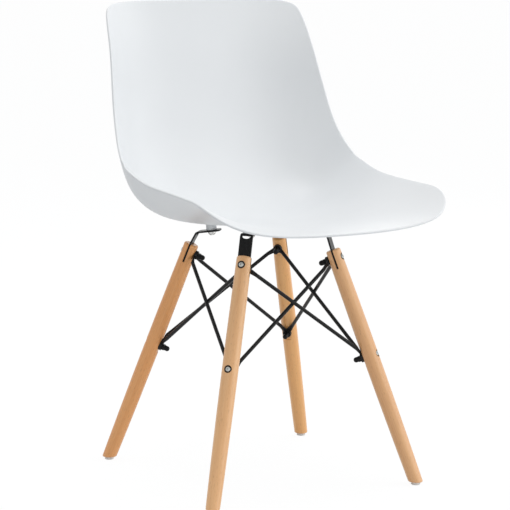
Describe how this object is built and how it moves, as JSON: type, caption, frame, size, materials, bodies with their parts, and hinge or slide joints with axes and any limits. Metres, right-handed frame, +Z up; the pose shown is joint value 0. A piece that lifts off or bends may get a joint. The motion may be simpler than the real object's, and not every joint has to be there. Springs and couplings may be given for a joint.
{
  "type": "dining chair",
  "caption": "Dining chair with a one-piece moulded bucket seat and back on splayed turned wooden legs, tied by bent steel brackets and crossed steel brace rods.",
  "frame": {"origin": "on the floor under the middle of the chair's bounding box", "axes": "+X across the seat to a viewer's right when facing the front, -Y towards the front edge of the seat, +Z up"},
  "size_m": [0.4658, 0.5502, 0.817],
  "materials": {
    "shell_plastic": "white polypropylene, fine satin mould texture",
    "beech": "clear satin lacquer on turned beech",
    "black_steel": "black satin powder coat",
    "black_nut": "black oxide",
    "black_washer": "dark phosphate",
    "zinc_steel": "bright zinc plate",
    "insert_brass": "plain turned brass",
    "glide_plastic": "pale grey moulded plastic"
  },
  "bodies": {
    "root": {"brace_front_left_to_front_right": "black_steel", "brace_front_left_to_rear_left": "black_steel", "brace_front_right_to_front_left": "black_steel", "brace_front_right_to_rear_right": "black_steel", "brace_rear_left_to_front_left": "black_steel", "brace_rear_left_to_rear_right": "black_steel", "brace_rear_right_to_front_right": "black_steel", "brace_rear_right_to_rear_left": "black_steel", "bracket_front_left": "black_steel", "bracket_front_right": "black_steel", "bracket_rear_left": "black_steel", "bracket_rear_right": "black_steel", "glide_front_left": "glide_plastic", "glide_front_right": "glide_plastic", "glide_rear_left": "glide_plastic", "glide_rear_right": "glide_plastic", "leg_front_left": "beech", "leg_front_right": "beech", "leg_rear_left": "beech", "leg_rear_right": "beech", "lower_bolt_washers": "black_washer", "lower_cap_nuts": "black_nut", "lower_leg_bolts": "zinc_steel", "seat_inserts": "insert_brass", "seat_screw_washers": "zinc_steel", "seat_screws": "zinc_steel", "seat_shell": "shell_plastic", "upper_bolt_washers": "black_washer", "upper_cap_nuts": "black_nut", "upper_leg_bolts": "zinc_steel"}
  },
  "joints": []
}
